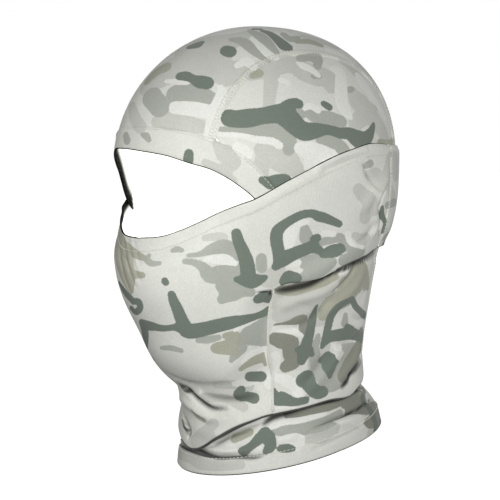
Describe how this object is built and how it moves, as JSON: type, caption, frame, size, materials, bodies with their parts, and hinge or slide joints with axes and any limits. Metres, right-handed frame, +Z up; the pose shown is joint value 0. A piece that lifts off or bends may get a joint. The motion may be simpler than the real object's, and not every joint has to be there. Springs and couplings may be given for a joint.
{
  "type": "balaclava",
  "caption": "Knitted full-head balaclava with one eye opening, a wrap-over face mask that pulls down below the chin, and a gathered neck.",
  "frame": {"origin": "middle of the head cavity, level with the ears", "axes": "+Z up along the wearer's head, -Y the way the wearer faces, +X to the wearer's left"},
  "size_m": [0.1592, 0.2032, 0.2841],
  "materials": {
    "printed_knit": "matte",
    "printed_hem": "matte",
    "sewing_thread": "matte"
  },
  "bodies": {
    "hood": {"crown_panel": "printed_knit", "crown_seam_left": "sewing_thread", "crown_seam_right": "sewing_thread", "side_panel_left": "printed_knit", "side_panel_right": "printed_knit", "brow_hem": "printed_hem", "brow_hem_stitch": "sewing_thread", "back_band": "printed_knit", "back_band_seam_left": "sewing_thread", "back_band_seam_right": "sewing_thread", "neck_front": "printed_knit", "neck_seam_left": "sewing_thread", "neck_seam_right": "sewing_thread"},
    "mask": {"mask_panel": "printed_knit", "mask_hem": "printed_hem", "mask_hem_stitch": "sewing_thread"},
    "neck_foot": {"neck_foot_front": "printed_knit", "neck_foot_side_left": "printed_knit", "neck_foot_side_right": "printed_knit", "neck_foot_back": "printed_knit", "neck_hem_stitch": "sewing_thread", "neck_hem": "printed_hem"}
  },
  "joints": [
    {"name": "mask_pull_down", "type": "slide", "parent": "hood", "child": "mask", "axis": [0, 0, -1], "range_m": [0, 0.08]},
    {"name": "neck_foot_pull_down", "type": "slide", "parent": "hood", "child": "neck_foot", "axis": [0, 0, -1], "range_m": [0, 0.03]}
  ]
}
